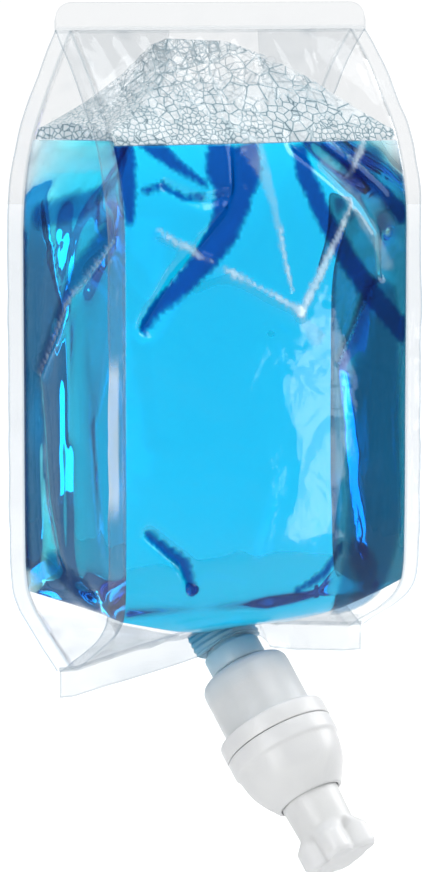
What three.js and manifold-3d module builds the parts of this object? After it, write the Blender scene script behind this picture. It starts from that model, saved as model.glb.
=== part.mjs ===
/**
 * Hand soap refill pack: a clear film pouch of blue foam soap that hangs upright, with an inverted
 * foam pump welded into its bottom seal.
 *
 * Millimetres, +Z up, the pouch's front towards -Y. The origin is the middle of the front face of
 * the top seal, where a clip holds the pack. The pump has its own frame, nested and tilted: there
 * +Z points along the pump's axis into the pouch, and z = 0 is the collar's seat.
 */
import * as THREE from "three";
import { mergeVertices } from "three/addons/utils/BufferGeometryUtils.js";
import ManifoldModule from "manifold-3d";

const wasm = await ManifoldModule();
wasm.setup();

// ---- Driving dimensions: pouch ----

const SEAM_HALF_WIDTH = 50.5;
const FIN_WIDTH = 6;
const FILM_WALL = 0.35;
const SEAL_THICKNESS = 0.7;
const SEAL_MIDDLE_Y = SEAL_THICKNESS / 2;
const TOP_SEAL_HEIGHT = 10;
const TOP_SEAL_CORNER = 6;
const BOTTOM_SEAL_HEIGHT = 9;
const FRONT_STEPS = 10;
const GUSSET_STEPS = 4;
const ROWS_PER_STATION = 2;

// The pouch row by row, from the top seal to the bottom seal. left, middle and right are heights at
// the left seam, the centre line and the right seam. depth is half the pouch's depth at the seams,
// bulge is how much fuller the panels are at their centre, fold is how far the side gussets fold
// inwards (outwards where it is negative), and forward moves the centre towards the front.
const STATIONS = [
  { left: -4, middle: -4, right: -4, depth: 0.25, bulge: 0.05, fold: 37, forward: 0 },
  { left: -16, middle: -16, right: -14, depth: 11, bulge: 0.5, fold: 36, forward: 0 },
  { left: -27, middle: -27, right: -25, depth: 20, bulge: 1, fold: 32, forward: 0 },
  { left: -38, middle: -37, right: -35, depth: 28, bulge: 1.5, fold: 25, forward: 0 },
  { left: -50, middle: -49, right: -47, depth: 33.5, bulge: 2, fold: 15, forward: 0 },
  { left: -64, middle: -63, right: -60, depth: 36.5, bulge: 2.5, fold: 3, forward: 0 },
  { left: -82, middle: -81, right: -79, depth: 37, bulge: 3, fold: -1, forward: 0 },
  { left: -125, middle: -125, right: -125, depth: 37, bulge: 3.5, fold: -2, forward: 0 },
  { left: -168, middle: -168, right: -165, depth: 37, bulge: 3, fold: -2, forward: -1 },
  { left: -187, middle: -187, right: -182, depth: 36, bulge: 0.5, fold: 0, forward: -2 },
  { left: -195, middle: -195, right: -190, depth: 31, bulge: -2, fold: 9, forward: -4 },
  { left: -202, middle: -198, right: -197, depth: 20, bulge: -2, fold: 24, forward: -6 },
  { left: -208, middle: -199.5, right: -202, depth: 9, bulge: -1, fold: 33, forward: -7 },
  { left: -212, middle: -200, right: -206, depth: 1.3, bulge: 0.05, fold: 37, forward: -7 },
];

// ---- Driving dimensions: contents ----

const FILM_GAP = 0.5;
const LIQUID_LEVEL = -40;
const SURFACE_GAP = 0.3;
const LIQUID_BOTTOM = [[-51.5, -191], [-14, -199.8], [14, -199.8], [51.5, -185]];
const FROTH_TOP = [[51.5, -35.85], [19, -11], [-13, -11], [-26, -26], [-51.5, -36.85]];

// Edges and slivers finer than this are closed up where films are joined.
const FINEST_EDGE = 0.02;

// ---- Driving dimensions: pump, in its own frame ----

const PUMP_LEAN = THREE.MathUtils.degToRad(-37.7);
const PUMP_SWAY = THREE.MathUtils.degToRad(-12.8);
const SEAT_POSITION = new THREE.Vector3(4.6, -30.4, -230.2);
const TURNED_STEPS = 28;
const INNER_STEPS = 20;
const FIT = 0.3;

const CANOE = { halfWidth: 12.5, halfDepth: 8.8, low: 30.8, high: 38.6 };
const SPOUT = { outer: 7.9, bore: 6.4, top: 40.5, rim: 9.75, rimTop: 29.4, end: 22.4 };
const BODY = { radius: 15.3, wall: 1.3, shoulder: 21.2, filletRadius: 5.4, end: -8.6 };
const FLANGE = { radius: 16.6, top: -1.2, bottom: -3.2 };
const GASKET_RADIUS = 9.6;
const INLET = { outer: 6.1, bore: 4.7, top: 34 };
const PLATE = { top: 20.4, bottom: 18.9, hole: 1.2 };
const FLOW_HOLES = { count: 4, ring: 3, radius: 0.7 };
const INLET_VALVE = { radius: 4.4, centre: 0.8, edge: 0.4, stem: 0.8, bulb: 1.8, bulbHeight: 1.8 };
const LIQUID_CYLINDER = { bore: 5, outer: 6.4, end: 5 };
const COLLAR = { radius: 18.8, lip: 15.6, wall: 16.9, height: 6.1, edge: 0.6 };
const DOME = { rim: 18.7, rimTop: -6.4, rimBottom: -12, chamfer: 0.5, radius: 17.6, mouth: 10.4, end: -28.5 };
const DOME_CURVE = [[17.6, -15.5], [17, -18.5], [15.9, -21.3], [14.3, -24], [12.6, -26.6]];
const DOME_HOLLOW = [[11.3, -25.9], [12.9, -23.2], [14.4, -20.6], [15.5, -18], [16.1, -15.2], [16.1, -11]];
const DOME_SHELF = 13.2;
const PISTON = { radius: 13.7, top: -3, webTop: -6.2, web: -7.4, bottom: -8, hub: 4.2, hubBore: 3.5 };
const AIR_HOLES = { count: 6, ring: 4.9, radius: 0.5 };
const SKIRT = { outer: 6.6, bore: 5.6, end: -13 };
const ROD = { outer: 3.2, bore: 1.9, end: -12.5, head: 4.7, headTop: 7.2 };
const SPRING = { meanRadius: 9, wire: 1.1, turns: 7, top: 18.6, bottom: -5.9 };
const MIXER = { outer: 6.6, bore: 5.4, top: -16, end: -31 };
const SCREEN = { radius: 6.5, thickness: 0.5 };
const SCREEN_HOLES = { count: 6, ring: 3.4, radius: 1.1 };
const OUTLET_VALVE = { radius: 4, edge: 0.6, nose: 2.2, shoulder: 1.9, length: 2.2 };
const NOZZLE = { outer: 8.3, bore: 6.9, top: -7.7, neck: -40, outlet: 5.2, outletBore: 3.8, end: -47 };
const NOZZLE_FLANGE = { radius: 11.5, top: -9.5, bottom: -11 };
const CAP = { top: -27, root: 10, tip: 9.5, bore: 8.7, lobe: 2.6, lobeTop: -39, end: -52, turns: 4 };
const CAP_TURN = THREE.MathUtils.degToRad(-24);

// ---- Solids ----

/** A closed mesh with merged corners and outward faces. */
function closed(geometry) {
  geometry.deleteAttribute("normal");
  geometry.deleteAttribute("uv");
  const merged = mergeVertices(geometry, 1e-4);
  const corners = merged.attributes.position;
  const index = merged.index.array;
  const [a, b, c] = [new THREE.Vector3(), new THREE.Vector3(), new THREE.Vector3()];
  const kept = [];
  let volume = 0;
  for (let i = 0; i < index.length; i += 3) {
    const [p, q, r] = [index[i], index[i + 1], index[i + 2]];
    if (p === q || q === r || r === p) {
      continue;
    }
    kept.push(p, q, r);
    a.fromBufferAttribute(corners, p);
    b.fromBufferAttribute(corners, q);
    c.fromBufferAttribute(corners, r);
    volume += a.dot(b.cross(c));
  }
  if (volume < 0) {
    kept.reverse();
  }
  merged.setIndex(kept);
  return merged;
}

/** Joins the ends of edges finer than FINEST_EDGE, on one grid and then on a grid half a step away. */
function withoutFineEdges(geometry) {
  return [0, FINEST_EDGE / 2].reduce((shape, shift) => {
    const welded = mergeVertices(shape.translate(shift, shift, shift), FINEST_EDGE);
    return closed(welded.translate(-shift, -shift, -shift));
  }, geometry);
}

function toSolid(geometry) {
  const shape = closed(geometry);
  const vertProperties = new Float32Array(shape.attributes.position.array);
  const triVerts = new Uint32Array(shape.index.array);
  return new wasm.Manifold(new wasm.Mesh({ numProp: 3, vertProperties, triVerts }));
}

function toGeometry(solid) {
  const mesh = solid.getMesh();
  const geometry = new THREE.BufferGeometry();
  geometry.setAttribute("position", new THREE.BufferAttribute(new Float32Array(mesh.vertProperties), 3));
  geometry.setIndex(Array.from(mesh.triVerts));
  return geometry;
}

/** Turns a closed (radius, height) profile about +Z. */
function turned(profile, steps = TURNED_STEPS) {
  const points = profile.map(([radius, height]) => new THREE.Vector2(radius, height));
  const onAxis = points[0].x === 0 && points[points.length - 1].x === 0;
  if (!onAxis) {
    points.push(points[0].clone());
  }
  return new THREE.LatheGeometry(points, steps).rotateX(Math.PI / 2);
}

/** Points of a quarter circle in a profile, from one angle to another, in degrees. */
function arc(centreRadius, centreHeight, radius, from, to, steps) {
  return Array.from({ length: steps + 1 }, (_, i) => {
    const angle = THREE.MathUtils.degToRad(from + ((to - from) * i) / steps);
    return [centreRadius + radius * Math.cos(angle), centreHeight + radius * Math.sin(angle)];
  });
}

/** Triangles that close a loop, in the loop's own direction: four corners, or an outline seen from above. */
function capTriangles(loop) {
  if (loop.length === 4) {
    return [[0, 1, 2], [0, 2, 3]];
  }
  const flat = loop.map((p) => new THREE.Vector2(p.x, p.y));
  const faces = THREE.ShapeUtils.triangulateShape(flat, []);
  return THREE.ShapeUtils.isClockWise(flat) ? faces.map(([a, b, c]) => [c, b, a]) : faces;
}

/** A closed skin over loops of equally many points, one row after another. */
function loft(loops) {
  const count = loops[0].length;
  const last = (loops.length - 1) * count;
  const index = [];
  for (let row = 0; row < loops.length - 1; row += 1) {
    for (let j = 0; j < count; j += 1) {
      const next = (j + 1) % count;
      const upper = row * count;
      const lower = upper + count;
      index.push(lower + j, lower + next, upper + next);
      index.push(lower + j, upper + next, upper + j);
    }
  }
  capTriangles(loops[0]).forEach(([a, b, c]) => index.push(a, b, c));
  capTriangles(loops[loops.length - 1]).forEach(([a, b, c]) => index.push(last + c, last + b, last + a));
  const geometry = new THREE.BufferGeometry().setFromPoints(loops.flat());
  geometry.setIndex(index);
  return geometry;
}

/** A flat plate of an outline in the XZ plane, standing across the whole pouch. */
function acrossPouch(outline) {
  const reach = 60;
  const shape = new THREE.Shape(outline.map(([x, z]) => new THREE.Vector2(x, z)));
  const plate = new THREE.ExtrudeGeometry(shape, { depth: 2 * reach, bevelEnabled: false });
  return toSolid(plate.rotateX(Math.PI / 2).translate(0, reach, 0));
}

// ---- Pouch shape ----

function catmullRom(a, b, c, d, t) {
  const slopeIn = (c - a) / 2;
  const slopeOut = (d - b) / 2;
  const cubic = 2 * (b - c) + slopeIn + slopeOut;
  const square = 3 * (c - b) - 2 * slopeIn - slopeOut;
  return ((cubic * t + square) * t + slopeIn) * t + b;
}

/** The pouch's row at a place along it, from 0 at the top seal to STATIONS.length - 1. */
function rowAt(place) {
  const last = STATIONS.length - 1;
  const base = Math.min(Math.floor(place), last - 1);
  const [a, b, c, d] = [-1, 0, 1, 2].map((step) => STATIONS[THREE.MathUtils.clamp(base + step, 0, last)]);
  const row = {};
  for (const key of Object.keys(b)) {
    row[key] = catmullRom(a[key], b[key], c[key], d[key], place - base);
  }
  return row;
}

/** Height of a row at one x: it falls or rises from the centre line to each seam. */
function rowHeight(row, x) {
  const side = x < 0 ? row.left : row.right;
  const share = Math.min(Math.abs(x) / SEAM_HALF_WIDTH, 1);
  return row.middle + (side - row.middle) * share ** 1.3;
}

function rowMiddleY(row, x) {
  return SEAL_MIDDLE_Y + row.forward * (1 - (x / SEAM_HALF_WIDTH) ** 2);
}

/**
 * One row as a loop, anticlockwise from the front left seam, moved inwards by inset. Where a gusset
 * is folded in, its walls slant, so they move further along x.
 */
function pouchLoop(place, inset) {
  const row = rowAt(place);
  const slant = row.fold > 0 ? Math.hypot(row.fold, row.depth) / row.depth : 1;
  const half = SEAM_HALF_WIDTH - inset * slant;
  const depth = row.depth - inset;
  const point = (x, offset) => new THREE.Vector3(x, rowMiddleY(row, x) + offset, rowHeight(row, x));
  const panel = (side, i) => {
    const across = -side * (-1 + (2 * i) / FRONT_STEPS);
    const crown = 1 - Math.abs(across) ** 2.4;
    return point(half * across, side * (depth + row.bulge * crown));
  };
  const gusset = (side, i) => {
    const along = side * (-1 + (2 * i) / GUSSET_STEPS);
    const crown = row.fold > 0 ? 1 - Math.abs(along) ** 1.1 : 1 - along ** 2;
    return point(side * (half - row.fold * crown), depth * along);
  };
  const steps = (count, make) => Array.from({ length: count }, (_, i) => make(i));
  return [
    ...steps(FRONT_STEPS, (i) => panel(-1, i)),
    ...steps(GUSSET_STEPS, (i) => gusset(1, i)),
    ...steps(FRONT_STEPS, (i) => panel(1, i)),
    ...steps(GUSSET_STEPS, (i) => gusset(-1, i)),
  ];
}

function pouchSolid(from, to, inset) {
  const rows = Math.round((to - from) * ROWS_PER_STATION);
  const places = Array.from({ length: rows + 1 }, (_, i) => from + ((to - from) * i) / rows);
  return toSolid(loft(places.map((place) => pouchLoop(place, inset))));
}

/** A thin strip along a line of points, reaching across from each, with the same thickness all over. */
function strip(points, across, thickness) {
  const loops = points.map((p, i) => {
    const ahead = points[Math.min(i + 1, points.length - 1)];
    const behind = points[Math.max(i - 1, 0)];
    const half = new THREE.Vector3().subVectors(ahead, behind).cross(across[i]).setLength(thickness / 2);
    const far = p.clone().add(across[i]);
    return [p.clone().add(half), far.clone().add(half), far.clone().sub(half), p.clone().sub(half)];
  });
  return toSolid(loft(loops));
}

function cornerFin(sideX, sideY) {
  const rows = (STATIONS.length - 1) * ROWS_PER_STATION;
  const root = sideX * (SEAM_HALF_WIDTH - 0.15);
  const points = Array.from({ length: rows + 1 }, (_, i) => {
    const row = rowAt(i / ROWS_PER_STATION);
    const y = rowMiddleY(row, root) + sideY * Math.max(row.depth - SEAL_THICKNESS * 0.6, 0);
    return new THREE.Vector3(root, y, rowHeight(row, root));
  });
  const across = points.map(() => new THREE.Vector3(sideX * FIN_WIDTH, 0, 0));
  return strip(points, across, SEAL_THICKNESS * 0.9);
}

function topSeal() {
  const half = SEAM_HALF_WIDTH + FIN_WIDTH;
  const high = TOP_SEAL_HEIGHT / 2;
  const r = TOP_SEAL_CORNER;
  const shape = new THREE.Shape();
  shape.moveTo(-half, -high);
  shape.lineTo(half, -high);
  shape.lineTo(half, high - r);
  shape.absarc(half - r, high - r, r, 0, Math.PI / 2, false);
  shape.lineTo(-half + r, high);
  shape.absarc(-half + r, high - r, r, Math.PI / 2, Math.PI, false);
  const options = { depth: SEAL_THICKNESS, bevelEnabled: false, curveSegments: 5 };
  const band = new THREE.ExtrudeGeometry(shape, options);
  return toSolid(band.rotateX(Math.PI / 2).translate(0, SEAL_THICKNESS, 0));
}

/** The bottom seal hangs from the pouch's last row, and leans along the pump's axis at its centre. */
function bottomSeal(axis) {
  const steps = 18;
  const reach = SEAM_HALF_WIDTH + FIN_WIDTH;
  const row = rowAt(STATIONS.length - 1);
  const down = new THREE.Vector3(0, 0, -1);
  const outwards = new THREE.Vector3().copy(axis).negate();
  const points = [];
  const across = [];
  for (let i = 0; i <= steps; i += 1) {
    const x = reach * (-1 + (2 * i) / steps);
    const seam = THREE.MathUtils.clamp(x, -SEAM_HALF_WIDTH, SEAM_HALF_WIDTH);
    const lean = Math.exp(-((x / 26) ** 2));
    points.push(new THREE.Vector3(x, rowMiddleY(row, seam), rowHeight(row, x) + 0.3));
    across.push(down.clone().lerp(outwards, lean).setLength(BOTTOM_SEAL_HEIGHT));
  }
  return strip(points, across, SEAL_THICKNESS);
}

// ---- Pump shapes ----

/** The boat-shaped block of the spout between the two films, grown by a clearance. */
function canoe(grow, low, high) {
  const steps = 8;
  const { halfWidth, halfDepth } = CANOE;
  const edge = (side) => (_, i) => {
    const share = -1 + (2 * i) / steps;
    const depth = 0.3 + (halfDepth - 0.3) * (1 - share ** 2);
    return new THREE.Vector2(-side * share * (halfWidth + grow), side * (depth + grow));
  };
  const outline = [-1, 1].flatMap((side) => Array.from({ length: steps + 1 }, edge(side)));
  const block = new THREE.ExtrudeGeometry(new THREE.Shape(outline), { depth: high - low, bevelEnabled: false });
  return toSolid(block.translate(0, 0, low));
}

function rod(radius, low, high, steps = INNER_STEPS) {
  return toSolid(turned([[0, low], [radius, low], [radius, high], [0, high]], steps));
}

/** Small round holes in a ring about the axis. */
function holeRing({ count, ring: ringRadius, radius }, low, high) {
  const holes = Array.from({ length: count }, (_, i) => {
    const angle = (2 * Math.PI * i) / count;
    return rod(radius, low, high, 6).translate([
      ringRadius * Math.cos(angle), ringRadius * Math.sin(angle), 0,
    ]);
  });
  return holes.reduce((all, hole) => all.add(hole));
}

function spoutFitment() {
  const tube = toSolid(turned([
    [SPOUT.bore, SPOUT.end], [SPOUT.rim, SPOUT.end], [SPOUT.rim, SPOUT.rimTop],
    [SPOUT.outer, SPOUT.rimTop], [SPOUT.outer, SPOUT.top], [SPOUT.bore, SPOUT.top],
  ]));
  const bore = rod(SPOUT.bore, CANOE.low - 1, CANOE.high + 1, TURNED_STEPS);
  return toGeometry(tube.add(canoe(0, CANOE.low, CANOE.high).subtract(bore)));
}

function pumpBody() {
  const { radius, wall, shoulder, filletRadius, end } = BODY;
  const filletCentre = [radius - filletRadius, shoulder - filletRadius];
  const shell = toSolid(turned([
    [PLATE.hole, PLATE.top], [INLET.bore, PLATE.top], [INLET.bore, INLET.top], [INLET.outer, INLET.top],
    [INLET.outer, shoulder],
    ...arc(...filletCentre, filletRadius, 90, 0, 4),
    [radius, FLANGE.top], [FLANGE.radius, FLANGE.top], [FLANGE.radius, FLANGE.bottom],
    [radius, FLANGE.bottom], [radius, end], [radius - wall, end],
    ...arc(...filletCentre, filletRadius - wall, 0, 90, 3),
    [LIQUID_CYLINDER.outer, shoulder - wall], [LIQUID_CYLINDER.outer, LIQUID_CYLINDER.end],
    [LIQUID_CYLINDER.bore, LIQUID_CYLINDER.end], [LIQUID_CYLINDER.bore, PLATE.bottom],
    [PLATE.hole, PLATE.bottom],
  ]));
  const flow = holeRing(FLOW_HOLES, PLATE.bottom - 1, PLATE.top + 1);
  return toGeometry(shell.subtract(flow));
}

function collarRing() {
  const { radius, lip, wall, height, edge } = COLLAR;
  return turned([
    [lip, 0], [radius - edge, 0], [radius, -edge], [radius, -height], [wall, -height],
    [wall, FLANGE.top + FIT], [lip, FLANGE.top + FIT],
  ]);
}

function domeCover() {
  const { rim, rimTop, rimBottom, chamfer, radius, mouth, end } = DOME;
  const shelf = BODY.end - FIT;
  return turned([
    [FLANGE.radius, FLANGE.bottom - FIT], [FLANGE.radius, rimTop], [rim, rimTop],
    [rim, rimBottom + chamfer], [rim - chamfer, rimBottom], [radius, rimBottom],
    ...DOME_CURVE, [mouth + 1, end], [mouth, end], [mouth, end + 1.5], ...DOME_HOLLOW,
    [DOME_SHELF, shelf - 1], [DOME_SHELF, shelf],
    [BODY.radius + FIT, shelf], [BODY.radius + FIT, FLANGE.bottom - FIT],
  ]);
}

function neckGasket() {
  const low = BODY.shoulder + FIT;
  const high = SPOUT.end - FIT;
  return ring(SPOUT.bore, GASKET_RADIUS, low, high);
}

function inletValve() {
  const disc = PLATE.bottom - FIT;
  const bulb = PLATE.top + FIT;
  return turned([
    [0, disc - INLET_VALVE.centre], [INLET_VALVE.radius, disc - INLET_VALVE.edge],
    [INLET_VALVE.radius, disc], [INLET_VALVE.stem, disc], [INLET_VALVE.stem, bulb],
    [INLET_VALVE.bulb, bulb + 0.1], [INLET_VALVE.bulb - 0.4, bulb + INLET_VALVE.bulbHeight - 0.5],
    [0, bulb + INLET_VALVE.bulbHeight],
  ], INNER_STEPS);
}

/** A compression spring with closed end turns. */
class SpringLine extends THREE.Curve {
  getPoint(t, target = new THREE.Vector3()) {
    const angle = 2 * Math.PI * SPRING.turns * t;
    const closedTurn = 1 / SPRING.turns;
    const closedRise = SPRING.wire * 1.15;
    const height = SPRING.top - SPRING.bottom - SPRING.wire;
    const free = THREE.MathUtils.clamp((t - closedTurn) / (1 - 2 * closedTurn), 0, 1);
    const ends = Math.min(t / closedTurn, 1) + Math.max((t - 1 + closedTurn) / closedTurn, 0);
    const rise = closedRise * ends + (height - 2 * closedRise) * free;
    const x = SPRING.meanRadius * Math.cos(angle);
    const y = SPRING.meanRadius * Math.sin(angle);
    return target.set(x, y, SPRING.bottom + SPRING.wire / 2 + rise);
  }
}

function returnSpring() {
  const sides = 6;
  const section = new THREE.Shape(Array.from({ length: sides }, (_, i) => {
    const angle = (2 * Math.PI * i) / sides;
    return new THREE.Vector2(Math.cos(angle), Math.sin(angle)).multiplyScalar(SPRING.wire / 2);
  }));
  return new THREE.ExtrudeGeometry(section, {
    steps: SPRING.turns * 12, bevelEnabled: false, extrudePath: new SpringLine(),
  });
}

function liquidPiston() {
  const { outer, bore, end, head, headTop } = ROD;
  return turned([
    [bore, end], [outer, end], [outer, headTop - 4], [head, headTop - 3.4], [head, headTop],
    [head - 0.6, headTop], [outer + 0.2, headTop - 2], [bore, headTop - 2],
  ], INNER_STEPS);
}

function airPiston() {
  const { radius, top, webTop, web, bottom, hub, hubBore } = PISTON;
  const disc = toSolid(turned([
    [hubBore, web], [hubBore, -1.5], [hub, -1.5], [hub, webTop], [radius - 1, webTop],
    [radius - 0.8, top], [radius, top], [radius, bottom], [radius - 1, bottom], [radius - 1, web],
    [SKIRT.outer, web], [SKIRT.outer, SKIRT.end], [SKIRT.bore, SKIRT.end], [SKIRT.bore, web],
  ]));
  const airHoles = holeRing(AIR_HOLES, web - 1, webTop + 1);
  return toGeometry(disc.subtract(airHoles));
}

/** A washer between two heights. */
function ring(inner, outer, low, high) {
  return turned([[inner, low], [outer, low], [outer, high], [inner, high]], INNER_STEPS);
}

function airValve() {
  const top = PISTON.web - FIT;
  return ring(PISTON.hubBore, SKIRT.bore - FIT, top - 0.6, top);
}

function outletValve() {
  const { radius, edge, nose, shoulder, length } = OUTLET_VALVE;
  const top = ROD.end - FIT;
  return turned([
    [0, top - length], [nose, top - shoulder], [radius, top - edge], [radius, top], [0, top],
  ], INNER_STEPS);
}

/** A foam screen: a thin disc with a ring of openings. */
function screen(top) {
  const low = top - SCREEN.thickness;
  const disc = rod(SCREEN.radius, low, top);
  return toGeometry(disc.subtract(holeRing(SCREEN_HOLES, low - 1, top + 1)));
}

function mixingTube() {
  return ring(MIXER.bore, MIXER.outer, MIXER.end, MIXER.top);
}

function nozzleStem() {
  const { outer, bore, top, neck, outlet, outletBore, end } = NOZZLE;
  const ledge = MIXER.end - SCREEN.thickness - 3 * FIT;
  return turned([
    [bore, top], [outer, top], [outer, NOZZLE_FLANGE.top], [NOZZLE_FLANGE.radius, NOZZLE_FLANGE.top],
    [NOZZLE_FLANGE.radius, NOZZLE_FLANGE.bottom], [outer, NOZZLE_FLANGE.bottom],
    [outer, neck], [outlet, neck - 2.5], [outlet, end], [outletBore, end], [outletBore, neck - 1.5],
    [MIXER.bore, ledge - 2.5], [MIXER.bore, ledge], [bore, ledge],
  ]);
}

/** The cap: a sleeve over the nozzle that ends in a grip with four rounded lobes. */
function shippingCap() {
  const { top, root, tip, bore, lobe, lobeTop, end, turns } = CAP;
  const steps = 40;
  const loop = (z, radius, lobes) => Array.from({ length: steps }, (_, i) => {
    const angle = (2 * Math.PI * i) / steps;
    const r = radius + lobes * Math.cos(turns * (angle - CAP_TURN));
    return new THREE.Vector3(r * Math.cos(angle), r * Math.sin(angle), z);
  });
  const outside = toSolid(loft([
    loop(top, root, 0), loop(lobeTop, tip, 0), loop(lobeTop - 2, tip + 0.3, 0.45 * lobe),
    loop(lobeTop - 4, tip + 0.4, 0.85 * lobe), loop(lobeTop - 6, tip + 0.4, lobe),
    loop(end + 3.5, tip + 0.4, lobe), loop(end + 1.4, tip - 0.5, 0.9 * lobe), loop(end, tip - 3, 0.6 * lobe),
  ]));
  const hollow = toSolid(turned([
    [0, top + 1], [bore, top + 1], [bore, NOZZLE.neck - 1.2], [NOZZLE.outlet + 0.6, NOZZLE.neck - 4],
    [NOZZLE.outlet + 0.6, NOZZLE.end - 0.6], [0, NOZZLE.end - 0.6],
  ]));
  return toGeometry(outside.subtract(hollow));
}

// ---- Assembly ----

function material(color, roughness, options = {}) {
  return new THREE.MeshStandardMaterial({ color, roughness, metalness: 0, ...options });
}

const clearFilm = material(0xf1f4f5, 0.08, { transparent: true, opacity: 0.25 });
const blueSoap = material(0x0aa3dc, 0.05, { transparent: true, opacity: 0.85 });
const froth = material(0xe8f2f5, 0.35, { transparent: true, opacity: 0.8 });
const naturalPlastic = material(0xdfe3e5, 0.35, { transparent: true, opacity: 0.7 });
const whitePlastic = material(0xf2f3f3, 0.4);
const softSeal = material(0xe6e4dc, 0.7);
const steel = material(0xb9bcc0, 0.3, { metalness: 1 });

function named(name, geometry, look) {
  const mesh = new THREE.Mesh(closed(geometry), look);
  mesh.name = name;
  return mesh;
}

const pack = new THREE.Group();
const pump = new THREE.Group();
pump.position.copy(SEAT_POSITION);
pump.rotation.set(PUMP_LEAN, PUMP_SWAY, 0, "YXZ");
pump.updateMatrix();
const pumpAxis = new THREE.Vector3(0, 0, 1).applyQuaternion(pump.quaternion);

/** A solid of the pump's frame, moved into the pack's frame. */
function inPack(solid) {
  return toSolid(toGeometry(solid).applyMatrix4(pump.matrix));
}

function filmPouch() {
  const last = STATIONS.length - 1;
  const sleeve = canoe(FIT + SEAL_THICKNESS, CANOE.low + 0.4, CANOE.high + 0.4);
  const cavity = pouchSolid(0.5, last - 0.5, FILM_WALL);
  const spoutHole = canoe(FIT, SPOUT.rimTop, CANOE.high + FIT)
    .add(rod(SPOUT.outer + FIT, SPOUT.end, SPOUT.top + 6))
    .add(rod(SPOUT.rim + FIT, SPOUT.end, SPOUT.rimTop + FIT));
  const outside = [
    topSeal(), bottomSeal(pumpAxis), inPack(sleeve),
    cornerFin(-1, -1), cornerFin(1, -1), cornerFin(-1, 1), cornerFin(1, 1),
  ].reduce((all, piece) => all.add(piece), pouchSolid(0, last, 0));
  const film = outside.subtract(cavity).subtract(inPack(spoutHole)).simplify(FINEST_EDGE);
  return withoutFineEdges(toGeometry(film));
}

/** What the pouch can hold, clear of the film. */
function roomInPouch() {
  return pouchSolid(0.5, STATIONS.length - 2, FILM_WALL + FILM_GAP);
}

function liquidSoap() {
  const top = LIQUID_LEVEL - SURFACE_GAP / 2;
  const side = SEAM_HALF_WIDTH + 1;
  const region = acrossPouch([...LIQUID_BOTTOM, [side, top], [-side, top]]);
  const clear = SEAL_THICKNESS + 2 * FIT;
  const around = canoe(clear, CANOE.low - 2, CANOE.high + 1).add(rod(SPOUT.outer + FIT, 20, SPOUT.top + FIT));
  const inSpout = rod(INLET.bore - FIT, PLATE.top + 4, SPOUT.top + 6);
  const inPouch = roomInPouch().intersect(region).subtract(inPack(around));
  return toGeometry(inPouch.add(inPack(inSpout)).simplify(FINEST_EDGE));
}

function soapFroth() {
  const low = LIQUID_LEVEL + SURFACE_GAP / 2;
  const side = SEAM_HALF_WIDTH + 1;
  const region = acrossPouch([[-side, low], [side, low], ...FROTH_TOP]);
  return toGeometry(roomInPouch().intersect(region));
}

pack.add(
  named("film_pouch", filmPouch(), clearFilm),
  named("liquid_soap", liquidSoap(), blueSoap),
  named("soap_froth", soapFroth(), froth),
  pump,
);

pump.add(
  named("spout_fitment", spoutFitment(), naturalPlastic),
  named("pump_body", pumpBody(), naturalPlastic),
  named("collar_ring", collarRing(), whitePlastic),
  named("dome_cover", domeCover(), whitePlastic),
  named("neck_gasket", neckGasket(), softSeal),
  named("inlet_valve", inletValve(), softSeal),
  named("return_spring", returnSpring(), steel),
  named("liquid_piston", liquidPiston(), whitePlastic),
  named("air_piston", airPiston(), whitePlastic),
  named("air_valve", airValve(), softSeal),
  named("outlet_valve", outletValve(), softSeal),
  named("coarse_screen", screen(MIXER.top + FIT + SCREEN.thickness), whitePlastic),
  named("mixing_tube", mixingTube(), naturalPlastic),
  named("fine_screen", screen(MIXER.end - FIT), whitePlastic),
  named("nozzle_stem", nozzleStem(), whitePlastic),
  named("shipping_cap", shippingCap(), whitePlastic),
);

export default pack;
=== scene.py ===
"""Looks of the hand soap refill pack: clear wrinkled film, blue liquid, froth and a moulded foam pump.

Metres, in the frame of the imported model. The pouch repeats the pouch shape of the part, in mm.
"""

import math
import random

import bmesh
import bpy
import numpy as np
from mathutils import Matrix, Vector, noise

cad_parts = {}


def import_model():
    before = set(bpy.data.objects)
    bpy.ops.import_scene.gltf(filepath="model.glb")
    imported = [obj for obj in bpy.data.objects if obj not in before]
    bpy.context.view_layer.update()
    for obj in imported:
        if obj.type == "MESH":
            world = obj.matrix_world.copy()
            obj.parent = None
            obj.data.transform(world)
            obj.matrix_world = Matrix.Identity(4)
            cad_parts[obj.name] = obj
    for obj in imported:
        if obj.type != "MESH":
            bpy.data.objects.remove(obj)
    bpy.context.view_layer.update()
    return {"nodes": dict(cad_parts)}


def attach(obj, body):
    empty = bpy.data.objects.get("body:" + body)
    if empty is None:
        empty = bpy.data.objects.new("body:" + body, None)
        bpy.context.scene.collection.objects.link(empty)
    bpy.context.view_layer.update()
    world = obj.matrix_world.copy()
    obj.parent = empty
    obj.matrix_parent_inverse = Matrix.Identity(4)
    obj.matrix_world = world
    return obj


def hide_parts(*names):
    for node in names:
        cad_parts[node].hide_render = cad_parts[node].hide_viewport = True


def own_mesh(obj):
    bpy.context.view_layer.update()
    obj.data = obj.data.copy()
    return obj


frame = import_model()
MM = 0.001


# ---- Camera ----

AZIMUTH = math.radians(-28.6)
ELEVATION = math.radians(7.1)
DISTANCE = 1.1925
TARGET = Vector((-0.0026, -0.0050, -0.1372))
BACK = Vector((
    math.sin(AZIMUTH) * math.cos(ELEVATION),
    -math.cos(AZIMUTH) * math.cos(ELEVATION),
    math.sin(ELEVATION),
))
RIGHT = Vector((math.cos(AZIMUTH), math.sin(AZIMUTH), 0))

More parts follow.
